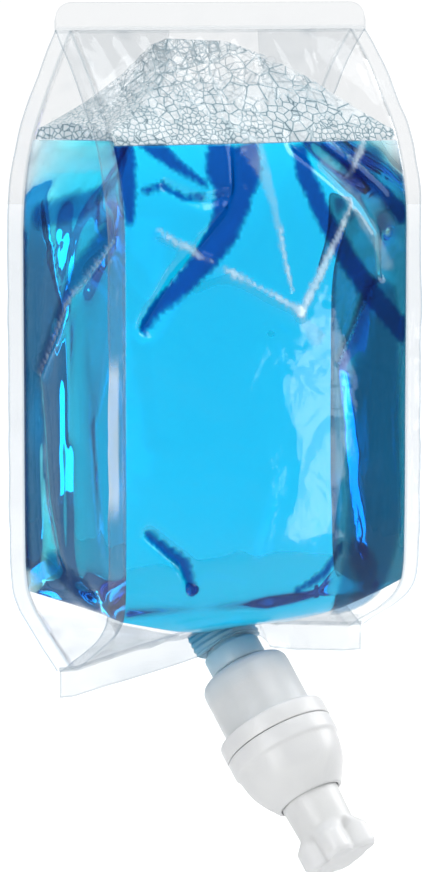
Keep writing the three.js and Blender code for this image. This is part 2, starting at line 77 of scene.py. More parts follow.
camera = bpy.data.objects.new("camera", bpy.data.cameras.new("camera"))
camera.location = TARGET + BACK * DISTANCE
camera.rotation_euler = BACK.to_track_quat("Z", "Y").to_euler()
camera.data.sensor_fit = "VERTICAL"
camera.data.sensor_height = 24
camera.data.lens = 99.5
camera.data.clip_end = 50
bpy.context.scene.collection.objects.link(camera)
bpy.context.scene.camera = camera


# ---- Pouch shape, in mm ----

SEAM = 51.8  # from the middle to a corner seam
SEAL_MIDDLE = 0.35  # where the seals lie, front to back
WALL = 0.25
LEVEL = -40.0  # the top of the liquid
FLATNESS = 2.4  # how flat a panel stays between its seams
FOLD_RADIUS = 0.004  # how rounded a gusset's fold line is, as a share of its depth, squared

# left, middle and right heights of a row, its depth, bulge, gusset fold and shift to the front
STATIONS = np.array([
    (-4, -4, -4, 0.25, 0.05, 37, 0),
    (-16, -16, -14, 11, 0.5, 36, 0),
    (-27, -27, -25, 20, 1, 32, 0),
    (-38, -37, -35, 28, 1.5, 25, 0),
    (-50, -49, -47, 33.5, 2, 15, 0),
    (-64, -63, -60, 36.5, 2.5, 3, 0),
    (-82, -81, -79, 37, 3, -1, 0),
    (-125, -125, -125, 37, 3.5, -2, 0),
    (-168, -168, -165, 37, 3, -2, -1),
    (-187, -187, -182, 36, 0.5, 0, -2),
    (-195, -195, -190, 31, -2, 9, -4),
    (-202, -198, -197, 20, -2, 24, -6),
    (-208, -199.5, -202, 9, -1, 33, -7),
    (-212, -200, -206, 1.3, 0.05, 37, -7),
], float)
LAST = len(STATIONS) - 1

ROWS = 200
FRONT, SIDE, REAR = 116, 36, 48  # points across each panel
PANELS = (FRONT, SIDE, REAR, SIDE)
CORNERS = (0, FRONT, FRONT + SIDE, FRONT + SIDE + REAR)
COLUMN = np.arange(sum(PANELS))
ON_FRONT = COLUMN < CORNERS[1]
ON_REAR = (COLUMN >= CORNERS[2]) & (COLUMN < CORNERS[3])
ON_SIDE = ~(ON_FRONT | ON_REAR)


def row_at(place):
    """A station, or a row between two stations on a smooth curve through them all."""
    base = min(int(place), LAST - 1)
    t = place - base
    a, b, c, d = (STATIONS[min(max(base + step, 0), LAST)] for step in (-1, 0, 1, 2))
    slope_in, slope_out = (c - a) / 2, (d - b) / 2
    cubic = 2 * (b - c) + slope_in + slope_out
    square = 3 * (c - b) - 2 * slope_in - slope_out
    return ((cubic * t + square) * t + slope_in) * t + b


def row_height(row, x):
    left, middle, right = row[:3]
    side = np.where(x < 0, left, right)
    return middle + (side - middle) * np.minimum(np.abs(x) / SEAM, 1) ** 1.3


def row_middle(row, x):
    return SEAL_MIDDLE + row[6] * (1 - (x / SEAM) ** 2)


def row_loop(row):
    """One row of points, anticlockwise from the front left seam."""
    depth, bulge, fold = row[3:6]

    def panel(count, side):
        along = -side * (-1 + 2 * np.arange(count) / count)
        return SEAM * along, side * (depth + bulge * (1 - np.abs(along) ** FLATNESS))

    def gusset(side):
        along = side * (-1 + 2 * np.arange(SIDE) / SIDE)
        folded = 1 - np.sqrt(along ** 2 + FOLD_RADIUS) ** 1.1
        crown = folded if fold > 0 else 1 - along ** 2
        return side * (SEAM - fold * crown), depth * along

    x, y = np.concatenate([panel(FRONT, -1), gusset(1), panel(REAR, 1), gusset(-1)], axis=1)
    return np.stack([x, y + row_middle(row, x), row_height(row, x)], 1)


def even_places(count):
    """Places along the pouch at even distances over its front."""
    fine = np.linspace(0, LAST, 900)
    line = np.array([(row_at(p)[1], row_at(p)[3]) for p in fine])
    length = np.concatenate([[0], np.cumsum(np.hypot(*np.diff(line, axis=0).T))])
    return np.interp(np.linspace(0, length[-1], count), length, fine)


def smooth(edge0, edge1, value):
    """From 0 at one edge to 1 at the other, with soft ends."""
    t = np.clip((value - edge0) / (edge1 - edge0), 0, 1)
    return t * t * (3 - 2 * t)


def waves(points, size, seed):
    """Smooth noise at each point of an array."""
    values = [noise.noise((x / size + seed, y / size, z / size)) for x, y, z in points.reshape(-1, 3)]
    return np.reshape(values, points.shape[:-1])


def distance_to_line(a, b, line):
    """Distance of the points (a, b) from a line of straight stretches."""
    best = np.full(a.shape, 1e9)
    for (a0, b0), (a1, b1) in zip(line, line[1:]):
        da, db = a1 - a0, b1 - b0
        t = np.clip(((a - a0) * da + (b - b0) * db) / (da * da + db * db), 0, 1)
        best = np.minimum(best, np.hypot(a - a0 - t * da, b - b0 - t * db))
    return best


def relief(a, b, folds):
    """The height of folds at the points (a, b)."""
    return sum(height * np.exp(-(distance_to_line(a, b, line) / width) ** power)
               for height, width, power, line in folds)


def stroke(a, b, points, soft=0.9):
    """A painted stroke through (a, b, half width) points, ragged at its edges, from 0 to 1."""
    best = np.full(np.shape(a), -99.0)
    ragged = 0.5 * np.sin(a * 1.7 + 2.1 * np.sin(b * 0.9)) * np.sin(b * 1.3 + 1.6 * np.sin(a * 0.8))
    for (a0, b0, w0), (a1, b1, w1) in zip(points, points[1:]):
        run = (a1 - a0) ** 2 + (b1 - b0) ** 2
        t = np.clip(((a - a0) * (a1 - a0) + (b - b0) * (b1 - b0)) / run, 0, 1)
        gap = np.hypot(a - a0 - t * (a1 - a0), b - b0 - t * (b1 - b0))
        best = np.maximum(best, w0 + t * (w1 - w0) - gap)
    return smooth(-soft, soft, best + ragged)


# creases that stand proud and puckers that sink in: height, width, power and the line they follow,
# by x and z on the front and the rear, and by y and z on the gussets
FRONT_FOLDS = [
    (0.8, 1.8, 1, [(-41, -67), (-34, -70), (-26, -74), (-14, -81), (-2, -88), (7, -92), (10, -94)]),
    (0.8, 1.8, 1, [(10, -94), (13, -89), (19, -78), (24, -70), (31, -58)]),
    (0.6, 1.6, 1, [(-3, -38), (0, -58), (3, -74), (6, -86)]),
    (-3.3, 2.7, 2, [(-8, -42), (-10, -54), (-14, -62), (-25, -73), (-34, -82), (-44, -97)]),
    (-3.0, 3.2, 2, [(14, -40), (25, -49), (36, -59), (43, -69), (44, -82)]),
    (1.2, 2.6, 2, [(22, -42), (33, -50), (42, -58)]),
    (-2.6, 1.7, 2, [(-44, -163), (-37, -169), (-32, -173), (-29, -180)]),
    (-2.0, 1.8, 2, [(-36, -52), (-24, -58), (-16, -56)]),
]
REAR_FOLDS = [
    (0.8, 2.0, 1, [(-38, -60), (-12, -96), (-8, -140)]),
    (0.8, 2.0, 1, [(40, -58), (16, -84), (-12, -96)]),
    (-0.9, 4, 2, [(30, -110), (34, -150), (20, -182)]),
]
SIDE_FOLDS = [
    (-2.4, 4.5, 1, [(-24, -70), (5, -94), (28, -118), (24, -136), (21, -158), (13, -178), (-12, -187)]),
    (-0.5, 3.5, 1, [(-22, -66), (20, -74), (26, -106)]),
    (0.8, 4, 1, [(-30, -100), (-20, -130), (-26, -170)]),
    (1.0, 8, 2, [(0, -66), (2, -120), (0, -180)]),
]

# painted shade, where the folds make the pouch look darker: (x or y, z, half width)
FRONT_FOLD_SHADE = [
    [(-9, -38, 8), (-12, -48, 9.5), (-13, -57, 6), (-18, -68, 5),
     (-25, -77, 3.4), (-32, -84, 2.7), (-41, -91, 2.3), (-45, -97, 1.8)],
    [(-40, -38, 3.4), (-33, -45, 2.3), (-23, -52, 0.8)],
    [(-50, -40, 5), (-50, -50, 3.6), (-50, -63, 1.2)],
    [(-44, -54, 0.6), (-37, -52, 0.9), (-30, -56, 0.9), (-24, -56, 0.6)],
    [(15, -39, 3.2), (14, -50, 3.2), (19, -63, 3), (27, -76, 3.4), (38, -90, 3.8), (50, -102, 3.8)],
    [(24, -41, 1.8), (31, -47, 2.2), (42, -56, 2.6), (50, -64, 3)],
    [(-44, -163, 1), (-37, -169, 1.5), (-32, -173, 1.8), (-29, -180, 1)],
    [(26, -171, 0.8), (20, -180, 1.1), (10, -185, 0.8)],
]
FRONT_COLUMN_SHADE = [(40, -92, 8), (39, -130, 10.5), (39, -165, 11), (35, -188, 9)]
SIDE_FOLD_SHADE = [
    [(-22, -46, 3), (1, -60, 5), (27, -65, 4)],
    [(-22, -66, 3.6), (-2, -84, 3.4), (13, -101, 2.8), (26, -116, 2.6)],
    [(37, -73, 2.8), (38, -127, 2.6), (36, -181, 3)],
    [(16, -179, 4), (-8, -185, 4)],
]
# how strong the painted shade is in the column down the right of the front and on the folds of the
# gussets
COLUMN_SHADE_STRENGTH, SIDE_SHADE_STRENGTH = 0.48, 0.7

# painted highlights along the creases, where the film turns milky white and glows: (strength, stroke)
FRONT_CREASE_HIGHLIGHTS = [
    (0.30, [(23, -47, 2.4), (32, -59, 3.4), (38, -68, 3), (45, -80, 2)]),
    (0.30, [(-3, -41, 3.6), (-1, -51, 2.2), (1, -60, 1.2), (3, -74, 0.5)]),
    (0.75, [(3, -66, 0.3), (4, -76, 0.7), (7, -87, 0.2)]),
    (0.80, [(10, -94, 1.3), (16, -84, 1.5), (24, -70, 1), (31, -58, 0.2)]),
    (0.80, [(10, -94, 1.2), (2, -89, 0.8), (-8, -84, 0.4), (-14, -81, 1.2), (-18, -79, 0.4)]),
    (0.70, [(-22, -77, 0.2), (-28, -73, 1), (-35, -70, 0.8), (-41, -66, 0.2)]),
    (0.70, [(30, -51, 0.2), (35, -45, 1), (39, -40, 0.8)]),
    (0.25, [(10, -96, 1), (16, -102, 3)]),
]
SIDE_CREASE_HIGHLIGHTS = [
    (0.22, [(24, -47, 4), (-8, -44, 4)]),
    (0.55, [(-24, -70, 0.5), (5, -94, 0.9), (28, -118, 0.5)]),
    (0.35, [(24, -136, 0.4), (21, -158, 1.2), (13, -178, 0.5)]),
]

# pleats gathered by the seals: (x at the seal, lean, reach, height) and (x at the seal, spread, height)
TOP_PLEATS = [
    (-44, -0.10, 24, 0.7), (-37, -0.25, 30, 1.0), (-25, 0.1, 22, 0.9), (-16, -0.05, 26, 0.8),
    (-5, 0.06, 30, 1.0), (8, 0.3, 26, 0.8), (21, -0.1, 20, 0.7), (33, 0.2, 24, 0.8), (43, 0.1, 26, 0.7),
]
BOTTOM_PLEATS = [
    (-40, 0.5, 0.7), (-28, 0.2, 0.9), (-19, 0.1, 0.8), (19, 0.1, 0.8), (27, -0.2, 0.9), (38, -0.4, 0.7),
]


def pleats(x, z):
    """The heights of the pleats at the top seal and at the bottom seal, at the points (x, z)."""
    top = 0
    for x0, lean, reach, height in TOP_PLEATS:
        line = [(x0, -4), (x0 - lean * reach, -4 - reach)]
        top = top + relief(x, z, [(height, 1.5, 1, line)]) * smooth(-6 - reach, -8, z)
    bottom = relief(x, z, [
        (height, 1.6, 1, [(x0, -214), (x0 - spread * 12, -201)])
        for x0, spread, height in BOTTOM_PLEATS
    ])
    return top, bottom


def smooth_pouch():
    """The film's outer face without its folds, as rows of points, and its outward directions."""
    grid = np.array([row_loop(row_at(place)) for place in even_places(ROWS)])
    around = np.roll(grid, -1, 1) - np.roll(grid, 1, 1)
    normal = np.cross(np.gradient(grid, axis=0), around)
    normal /= np.linalg.norm(normal, axis=2, keepdims=True) + 1e-12
    inward = ((grid - grid.mean(1, keepdims=True)) * normal)[ROWS // 2].sum() < 0
    return grid, -normal if inward else normal


PLAIN, NORMAL = smooth_pouch()
X, Y, Z = PLAIN[..., 0], PLAIN[..., 1], PLAIN[..., 2]
SMALL_WAVES = waves(PLAIN, 9, 40)


def folded_relief():
    """How far the film stands proud of its plain shape: waves, creases, puckers and pleats."""
    upper = smooth(-60, -20, Z)
    lower = smooth(-176, -196, Z)
    height = (0.9 * waves(PLAIN, 30, 0) * (0.25 + 1.2 * upper - 0.2 * lower)
              + 0.2 * SMALL_WAVES * (0.15 + 1.5 * upper - 0.1 * lower))
    top, bottom = pleats(X, Z)
    rear_top, _ = pleats(X + 4, Z)
    _, rear_bottom = pleats(X - 3, Z)
    height[:, ON_FRONT] += (relief(X, Z, FRONT_FOLDS) + top + bottom)[:, ON_FRONT]
    height[:, ON_REAR] += (relief(X, Z, REAR_FOLDS) + rear_top + rear_bottom)[:, ON_REAR]
    height[:, ON_SIDE] += relief(Y, Z, SIDE_FOLDS)[:, ON_SIDE]

    across = np.concatenate([np.arange(count) / count for count in PANELS])
    down = np.arange(ROWS)
    seam_fade = smooth(0, 0.06, across) * smooth(0, 0.06, 1 - across)
    end_fade = smooth(0, 5, down) * smooth(0, 4, down[::-1])
    # near the seals front and rear are close together, so they stay flat enough not to meet
    depth_fade = 0.15 + 0.85 * smooth(1, 12, np.abs(Y - SEAL_MIDDLE) + 2)
    return height * (seam_fade[None] * end_fade[:, None] * depth_fade)


def painted_fold_shade():
    """Painted shade along the folds of the film, from 0 to 1, with grey blotches at the bottom end and
    just above the liquid.
    """
    column = COLUMN_SHADE_STRENGTH * stroke(X, Z, FRONT_COLUMN_SHADE, 1.6)
    front = np.max([stroke(X, Z, points) for points in FRONT_FOLD_SHADE] + [column], axis=0)
    side = np.max([SIDE_SHADE_STRENGTH * stroke(Y, Z, points, 1.8) for points in SIDE_FOLD_SHADE], axis=0)
    dark = np.where(ON_FRONT, front, np.where(ON_SIDE, side, 0))
    dark *= smooth(LEVEL + 0.6, LEVEL - 0.6, Z)
    dark += smooth(-196, -200, Z) * (0.02 + 0.10 * np.clip(waves(PLAIN, 7, 88), 0, 1))
    dark += 0.06 * smooth(LEVEL + 2, LEVEL + 6, Z) * np.clip(waves(PLAIN, 9, 97) - 0.3, 0, 1)
    return dark


def crease_highlights():
    """The painted crease highlights at each point of the film, from 0 to 1, with a little more white at
    the bottom end.
    """
    front = sum(strength * stroke(X, Z, points, 0.6) for strength, points in FRONT_CREASE_HIGHLIGHTS)
    side = sum(strength * stroke(Y, Z, points, 0.6) for strength, points in SIDE_CREASE_HIGHLIGHTS)
    white = np.where(ON_FRONT, front, np.where(ON_SIDE, side, 0))
    white *= 0.4 + 0.6 * np.clip(0.55 + 0.6 * waves(PLAIN, 4, 21), 0, 1)
    white += 0.07 * smooth(-197, -201, Z) * np.clip(0.6 + SMALL_WAVES, 0, 2)
    return np.clip(white, 0, 1)


OUTER = PLAIN + NORMAL * folded_relief()[..., None]


# ---- Mesh helpers ----

def bmesh_of(verts, faces):
    """A bmesh of points and faces, without any face that isn't valid."""
    mesh = bpy.data.meshes.new("shape")
    mesh.from_pydata(np.asarray(verts, float).tolist(), [], faces)
    mesh.validate()
    bm = bmesh.new()
    bm.from_mesh(mesh)
    bpy.data.meshes.remove(mesh)
    return bm


def add_piece(bm, name, look, body, sharp=None):
    """A piece of the scene, shaded smooth, apart from edges sharper than an angle in degrees."""
    mesh = bpy.data.meshes.new(name)
    bm.to_mesh(mesh)
    bm.free()
    mesh.shade_smooth()
    if sharp is not None:
        mesh.set_sharp_from_angle(angle=math.radians(sharp))
    mesh.materials.append(look)
    obj = bpy.data.objects.new(name, mesh)
    bpy.context.scene.collection.objects.link(obj)
    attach(obj, body)
    return obj


def new_object(name, verts, faces, look, body, slot, sharp=None):
    bm = bmesh_of(verts, faces)
    bmesh.ops.recalc_face_normals(bm, faces=bm.faces)
    return add_piece(bm, name, look, body, sharp)


def grid_faces(rows, count, offset=0, flip=False, closed=True):
    """The faces between rows of points, where closed rows are loops."""
    faces = []
    for i in range(rows - 1):
        for j in range(count if closed else count - 1):
            k = (j + 1) % count
            quad = [offset + i * count + j, offset + i * count + k,
                    offset + (i + 1) * count + k, offset + (i + 1) * count + j]
            faces.append(quad[::-1] if flip else quad)
    return faces


def rim_faces(row, rows, count, closed=True):
    """Joins an outer and an inner grid along one row."""
    inner = rows * count
    faces = []
    for j in range(count if closed else count - 1):
        k = (j + 1) % count
        a, b = row * count + j, row * count + k
        faces.append([a, b, inner + b, inner + a])
    return faces


def shell_of(outer, inner, closed=True):
    """A closed thin skin between two grids of points."""
    rows, count = outer.shape[:2]
    size = rows * count
    verts = np.concatenate([outer.reshape(-1, 3), inner.reshape(-1, 3)])
    faces = grid_faces(rows, count, 0, False, closed) + grid_faces(rows, count, size, True, closed)
    faces += rim_faces(0, rows, count, closed) + rim_faces(rows - 1, rows, count, closed)
    if not closed:
        for j in (0, count - 1):
            for i in range(rows - 1):
                a, b = i * count + j, (i + 1) * count + j
                faces.append([a, b, size + b, size + a])
    return verts, faces


def joined(parts):
    """The points and faces of several parts as one."""
    verts, faces = [], []
    for v, f in parts:
        offset = sum(len(x) for x in verts)
        verts.append(v)
        faces += [[i + offset for i in face] for face in f]
    return np.concatenate(verts), faces


# ---- Node helpers ----

def connect(tree, socket, value):
    """Links a socket to another node's output, or sets its own value."""
    if isinstance(value, bpy.types.NodeSocket):
        tree.links.new(value, socket)
    else:
        socket.default_value = value


def node(tree, kind, **values):
    """A new node, with a value or a link for each socket that is named."""
    made = tree.nodes.new(kind)
    for key, value in values.items():
        connect(tree, made.inputs[key.replace("_", " ")], value)
    return made


def material(name, **values):
    """A new material, its node tree and its main shader."""
    mat = bpy.data.materials.new(name)
    mat.use_nodes = True
    shader = mat.node_tree.nodes["Principled BSDF"]
    for key, value in values.items():
        shader.inputs[key.replace("_", " ")].default_value = value
    return mat, mat.node_tree, shader


def texture(tree, kind, scale, **values):
    """A texture node on the object's own coordinates."""
    place = tree.nodes.get("place") or tree.nodes.new("ShaderNodeTexCoord")
    place.name = "place"
    return node(tree, kind, Scale=scale, Vector=place.outputs["Object"], **values)


def bump(tree, shader, height, distance, before=None):
    """Gives a shader a bump, on top of another bump where there is one before it."""
    made = node(tree, "ShaderNodeBump", Distance=distance, Height=height)
    if before is not None:
        connect(tree, made.inputs["Normal"], before)
    connect(tree, shader.inputs["Normal"], made.outputs["Normal"])
    return made.outputs["Normal"]


def ramp(tree, value, stops):
    """A colour for each value, by stops of (position, colour)."""
    made = node(tree, "ShaderNodeValToRGB", Fac=value)
    elements = made.color_ramp.elements
    while len(elements) < len(stops):
        elements.new(0.5)
    for element, (position, color) in zip(elements, stops):
        element.position = position
        element.color = (*color, 1)
    return made.outputs["Color"]


def math_node(tree, operation, *values):
    made = tree.nodes.new("ShaderNodeMath")
    made.operation = operation
    for socket, value in zip(made.inputs, values):
        connect(tree, socket, value)
    return made.outputs["Value"]


def ranged(tree, value, low, high, to_low, to_high, blend="SMOOTHSTEP"):
    """A value mapped from low and high to two other values, and held beyond them."""
    made = node(tree, "ShaderNodeMapRange", From_Min=low, From_Max=high, To_Min=to_low, To_Max=to_high)
    made.interpolation_type = blend
    connect(tree, made.inputs["Value"], value)
    return made.outputs["Result"]


def mixed(tree, share, first, second):
    """A mix of two shaders: the first where share is 0 and the second where it is 1."""
    made = node(tree, "ShaderNodeMixShader", Fac=share)
    connect(tree, made.inputs[1], first)
    connect(tree, made.inputs[2], second)
    return made.outputs["Shader"]


def mixed_color(tree, share, first, second, blend="MIX"):
    made = tree.nodes.new("ShaderNodeMix")
    made.data_type = "RGBA"
    made.blend_type = blend
    for key, value in (("Factor", share), ("A", first), ("B", second)):
        connect(tree, made.inputs[key], value)
    return made.outputs["Result"]


def attribute(tree, name):
    made = tree.nodes.new("ShaderNodeAttribute")
    made.attribute_name = name
    return made.outputs["Fac"]


def facing(tree, power, gain, base):
    """Base plus a share that grows towards surfaces seen edge-on, and the node that measures it."""
    weight = node(tree, "ShaderNodeLayerWeight", Blend=0.5)
    grazing = math_node(tree, "POWER", weight.outputs["Facing"], power)
    return math_node(tree, "MULTIPLY_ADD", grazing, gain, base), weight


def along(tree, output, direction):
    """A point or direction, measured along another direction."""
    place = tree.nodes.new("ShaderNodeTexCoord")
    dot = tree.nodes.new("ShaderNodeVectorMath")
    dot.operation = "DOT_PRODUCT"
    dot.inputs[1].default_value = direction
    connect(tree, dot.inputs[0], place.outputs[output])
    return dot.outputs["Value"]


# ---- Materials ----

def film_material():
    """Thin clear film: see-through, glossy and a little milky, with painted highlights where it is
    creased, where it turns white and glows.
    """
    mat, tree, shader = material(
        "clear_film", Base_Color=(0.95, 0.97, 0.98, 1), Roughness=0.35,
        Emission_Color=(0.85, 0.96, 1, 1))
    # the see-through tint greys, then turns deep blue, where painted shade is marked
    tint = ramp(tree, attribute(tree, "shade"), [
        (0, (0.969, 0.973, 0.976)), (0.2, (0.79, 0.82, 0.84)), (1, (0.03, 0.36, 0.62))])
    clear = node(tree, "ShaderNodeBsdfTransparent", Color=tint)
    through = node(tree, "ShaderNodeBsdfTranslucent", Color=(0.95, 0.97, 0.98, 1))
    gloss = node(tree, "ShaderNodeBsdfGlossy", Roughness=0.035)

    # where marked, the film turns milky white and glows by emission as painted highlights; everywhere
    # else it also glows faintly
    whitening_and_glow = attribute(tree, "whitening_and_glow")
    glow = math_node(tree, "MULTIPLY_ADD", whitening_and_glow, 0.75, 0.04)
    connect(tree, shader.inputs["Emission Strength"], glow)
    white = mixed(tree, 0.45, shader.outputs["BSDF"], through.outputs["BSDF"])
    milky = ranged(tree, whitening_and_glow, 0, 1, 0.003, 0.75, "LINEAR")
    mirror, weight = facing(tree, 5, 0.3, 0.02)
    body = mixed(tree, milky, clear.outputs["BSDF"], white)
    skin = mixed(tree, mirror, body, gloss.outputs["BSDF"])
    connect(tree, tree.nodes["Material Output"].inputs["Surface"], skin)

    broad = texture(tree, "ShaderNodeTexNoise", 45, Detail=2.0, Distortion=0.5)
    fine = texture(tree, "ShaderNodeTexNoise", 380, Detail=2.0, Distortion=0.4)
    first = bump(tree, gloss, broad.outputs["Fac"], 0.0008)
    second = bump(tree, gloss, fine.outputs["Fac"], 0.00004, first)
    connect(tree, weight.inputs["Normal"], second)
    return mat


def liquid_material():
    """Clear blue liquid, which gets deeper in colour with its thickness."""
    mat, tree, shader = material(
        "blue_soap", Base_Color=(0.9, 0.98, 1, 1), Roughness=0.0, IOR=1.34, Transmission_Weight=1.0)
    broad = texture(tree, "ShaderNodeTexNoise", 40, Detail=1.0)
    bump(tree, shader, broad.outputs["Fac"], 0.0002)
    absorb = node(tree, "ShaderNodeVolumeAbsorption", Color=(0.0, 0.925, 0.990, 1), Density=90)
    connect(tree, tree.nodes["Material Output"].inputs["Volume"], absorb.outputs["Volume"])
    return mat


def froth_material():
    """Cell walls of three sizes: coarse in the middle, fine at the left and along the liquid."""
    # the froth also glows faintly in its own colours: painted light
    mat, tree, shader = material("froth", Roughness=0.25, IOR=1.3, Emission_Strength=0.2)
    walls = []
    for scale, width in ((140, 0.036), (290, 0.06), (540, 0.09)):
        cells = texture(tree, "ShaderNodeTexVoronoi", scale)
        cells.feature = "DISTANCE_TO_EDGE"
        walls.append(ramp(tree, cells.outputs["Distance"], [
            (0, (1, 1, 1)), (width, (0.35, 0.35, 0.35)), (width * 2.2, (0, 0, 0))]))

    patches = texture(tree, "ShaderNodeTexNoise", 50, Detail=1.5)
    split = node(tree, "ShaderNodeSeparateXYZ", Vector=tree.nodes["place"].outputs["Object"])
    low = ranged(tree, split.outputs["Z"], -0.040, -0.026, 0.34, 0.0, "LINEAR")
    left = ranged(tree, split.outputs["X"], -0.050, -0.012, 0.20, 0.0, "LINEAR")
    fineness = math_node(tree, "ADD", math_node(tree, "ADD", patches.outputs["Fac"], low), left)
    wall = walls[0]
    for finer, start in ((walls[1], 0.50), (walls[2], 0.66)):
        pick = ramp(tree, fineness, [(start, (0, 0, 0)), (start + 0.04, (1, 1, 1))])
        wall = mixed_color(tree, pick, wall, finer)

    fill = ranged(tree, split.outputs["Z"], -0.036, -0.012, 0.66, 0.10)
    connect(tree, shader.inputs["Alpha"], math_node(tree, "MULTIPLY_ADD", wall, 0.6, fill))
    tone = ramp(tree, wall, [
        (0, (0.96, 0.99, 0.995)), (0.3, (0.60, 0.72, 0.76)), (1, (0.08, 0.15, 0.19))])
    connect(tree, shader.inputs["Base Color"], tone)
    connect(tree, shader.inputs["Emission Color"], tone)
    bump(tree, shader, cells.outputs["Distance"], 0.0004)
    return mat


def bubble_material():
    """Bubble skin: clear in the middle and grey where it is seen edge-on."""
    mat, tree, shader = material("bubble_skin", Base_Color=(0.30, 0.38, 0.42, 1), Roughness=0.12)
    clear = node(tree, "ShaderNodeBsdfTransparent", Color=(0.992, 0.996, 0.998, 1))
    rim, _ = facing(tree, 6, 0.6, 0.008)
    skin = mixed(tree, rim, clear.outputs["BSDF"], shader.outputs["BSDF"])
    connect(tree, tree.nodes["Material Output"].inputs["Surface"], skin)
    swirl = texture(tree, "ShaderNodeTexNoise", 260, Detail=1.0)
    bump(tree, shader, swirl.outputs["Fac"], 0.00008)
    return mat


def plastic(name, light, dark, subsurface, roughness, radius=0.004):
    """Moulded plastic: faint flow marks in its colour, a fine surface and light that sinks in."""
    mat, tree, shader = material(
        name, Roughness=roughness, Subsurface_Weight=subsurface, Subsurface_Scale=1.0,
        Subsurface_Radius=(radius, radius, radius * 1.1))
    flow = texture(tree, "ShaderNodeTexNoise", 70, Detail=4.0, Distortion=0.8)
    tone = ramp(tree, flow.outputs["Fac"], [(0.35, dark), (0.65, light)])
    connect(tree, shader.inputs["Base Color"], tone)
    grain = texture(tree, "ShaderNodeTexNoise", 1500, Detail=2.0)
    first = bump(tree, shader, flow.outputs["Fac"], 0.0003)
    bump(tree, shader, grain.outputs["Fac"], 0.00003, first)
    return mat


def natural_plastic():
    """Milky plastic that the soap behind it tints: strongest where the neck goes into the pouch."""
    mat = plastic("natural_plastic", (0.80, 0.83, 0.85), (0.77, 0.80, 0.82), 0.5, 0.3, 0.006)
    tree = mat.node_tree
    color = tree.nodes["Principled BSDF"].inputs["Base Color"]
    plain = color.links[0].from_socket
    seat = SEAT.dot(AXIS)
    height = ranged(tree, along(tree, "Object", AXIS), seat + 0.012, seat + 0.036, 0, 1, "LINEAR")
    tint = ramp(tree, height, [
        (0, (1, 1, 1)), (0.3, (0.80, 0.90, 0.97)), (0.6, (0.48, 0.72, 0.85)), (1, (0.10, 0.42, 0.62))])
    connect(tree, color, mixed_color(tree, 1, plain, tint, "MULTIPLY"))
    return mat


def metal(name, color, roughness):
    """Drawn wire, with faint streaks in its colour and surface."""
    mat, tree, shader = material(name, Metallic=1.0, Roughness=roughness)
    drawn = texture(tree, "ShaderNodeTexNoise", 900, Detail=3.0)
    tone = ramp(tree, drawn.outputs["Fac"], [(0.3, tuple(c * 0.8 for c in color)), (0.7, color)])
    connect(tree, shader.inputs["Base Color"], tone)
    bump(tree, shader, drawn.outputs["Fac"], 0.00003)
    return mat


# the pump leans to the front and sways to the side, about the middle of its seat
SEAT = Vector((0.0046, -0.0304, -0.2302))
LEAN, SWAY = math.radians(-37.7), math.radians(-12.8)
PUMP = Matrix.Translation(SEAT) @ Matrix.Rotation(SWAY, 4, "Y") @ Matrix.Rotation(LEAN, 4, "X")
AXIS = (PUMP.to_3x3() @ Vector((0, 0, 1))).normalized()

FILM = film_material()
LIQUID = liquid_material()
FROTH = froth_material()
BUBBLE = bubble_material()
WHITE = plastic("white_plastic", (0.82, 0.825, 0.82), (0.78, 0.785, 0.785), 0.25, 0.32)
SEAL = plastic("soft_seal", (0.82, 0.81, 0.77), (0.78, 0.77, 0.73), 0.2, 0.6)
SCREEN = plastic("screen_plastic", (0.85, 0.86, 0.87), (0.80, 0.81, 0.82), 0.1, 0.5)
STEEL = metal("spring_steel", (0.62, 0.63, 0.65), 0.28)
NATURAL = natural_plastic()


# ---- Film ----

FIN_WIDTH = 5.9
SEAL_RISE, SEAL_DROP = 5.0, 10.0  # how far the top and bottom seals reach from the film
SEAL_CORNER = 6.0
BLOCK_HALF = 13.2  # half the width over which the films part round the spout's block
BLOCK_OPENING = 9.0
OUTWARD = np.array([0, 1.0, 0])


def mark(obj, name, grids):
    """Stores a value at each point, for shells built from grids of the same shape."""
    values = np.concatenate([np.tile(np.asarray(g, np.float32).ravel(), 2) for g in grids])
    obj.data.attributes.new(name, "FLOAT", "POINT").data.foreach_set("value", values)


def film_body():
    verts, faces = shell_of(OUTER * MM, (OUTER - NORMAL * WALL) * MM)
    obj = new_object("film_body", verts, faces, FILM, "pack", "clear_film")
    mark(obj, "whitening_and_glow", [crease_highlights()])
    mark(obj, "shade", [painted_fold_shade()])
    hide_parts("film_pouch")


def fin(column, side_x, side_y, seed):
    """A welded corner fin: a flat strip outside the seam, with a raised weld line and a wavy edge."""
    root = OUTER[:, column]
    share = np.linspace(-0.08, 1, 9)
    wave = waves(root, 16, seed) * 0.9 + waves(root, 5, seed + 9) * 0.25
    width = FIN_WIDTH + 0.25 * waves(root, 12, seed + 30)
    drift = 0.3 * waves(root, 8, seed + 5)
    strip = np.zeros((len(root), len(share), 3))
    for i, s in enumerate(share):
        strip[:, i, 0] = root[:, 0] + side_x * (max(s, -0.05) * width)
        strip[:, i, 1] = root[:, 1] - side_y * 0.3 + wave * max(s, 0) ** 1.3
        strip[:, i, 2] = root[:, 2] + drift * max(s, 0)
    half = (0.13 + 0.16 * np.exp(-((share - 0.30) / 0.10) ** 2))[None, :, None] * OUTWARD

    edge = 1.0 * (share > 0.97) + 0.8 * np.exp(-((share - 0.05) / 0.06) ** 2)
    height = strip[..., 2]
    # the fin greys at its edges, and greys more lower down as painted shade
    grey = 0.02 + 0.22 * edge[None] + 0.07 * smooth(-50, -75, height)
    white = (0.05 + 0.1 * edge)[None] + 0.10 * np.clip(waves(strip, 10, seed + 60), 0, 1)
    if column == 0:  # painted reflection: the front left fin is whitened and glows along its middle
        white += 0.42 * (share > 0.35) * smooth(-160, -150, height) * smooth(-104, -112, height)
    return shell_of((strip + half) * MM, (strip - half) * MM, closed=False), white, grey


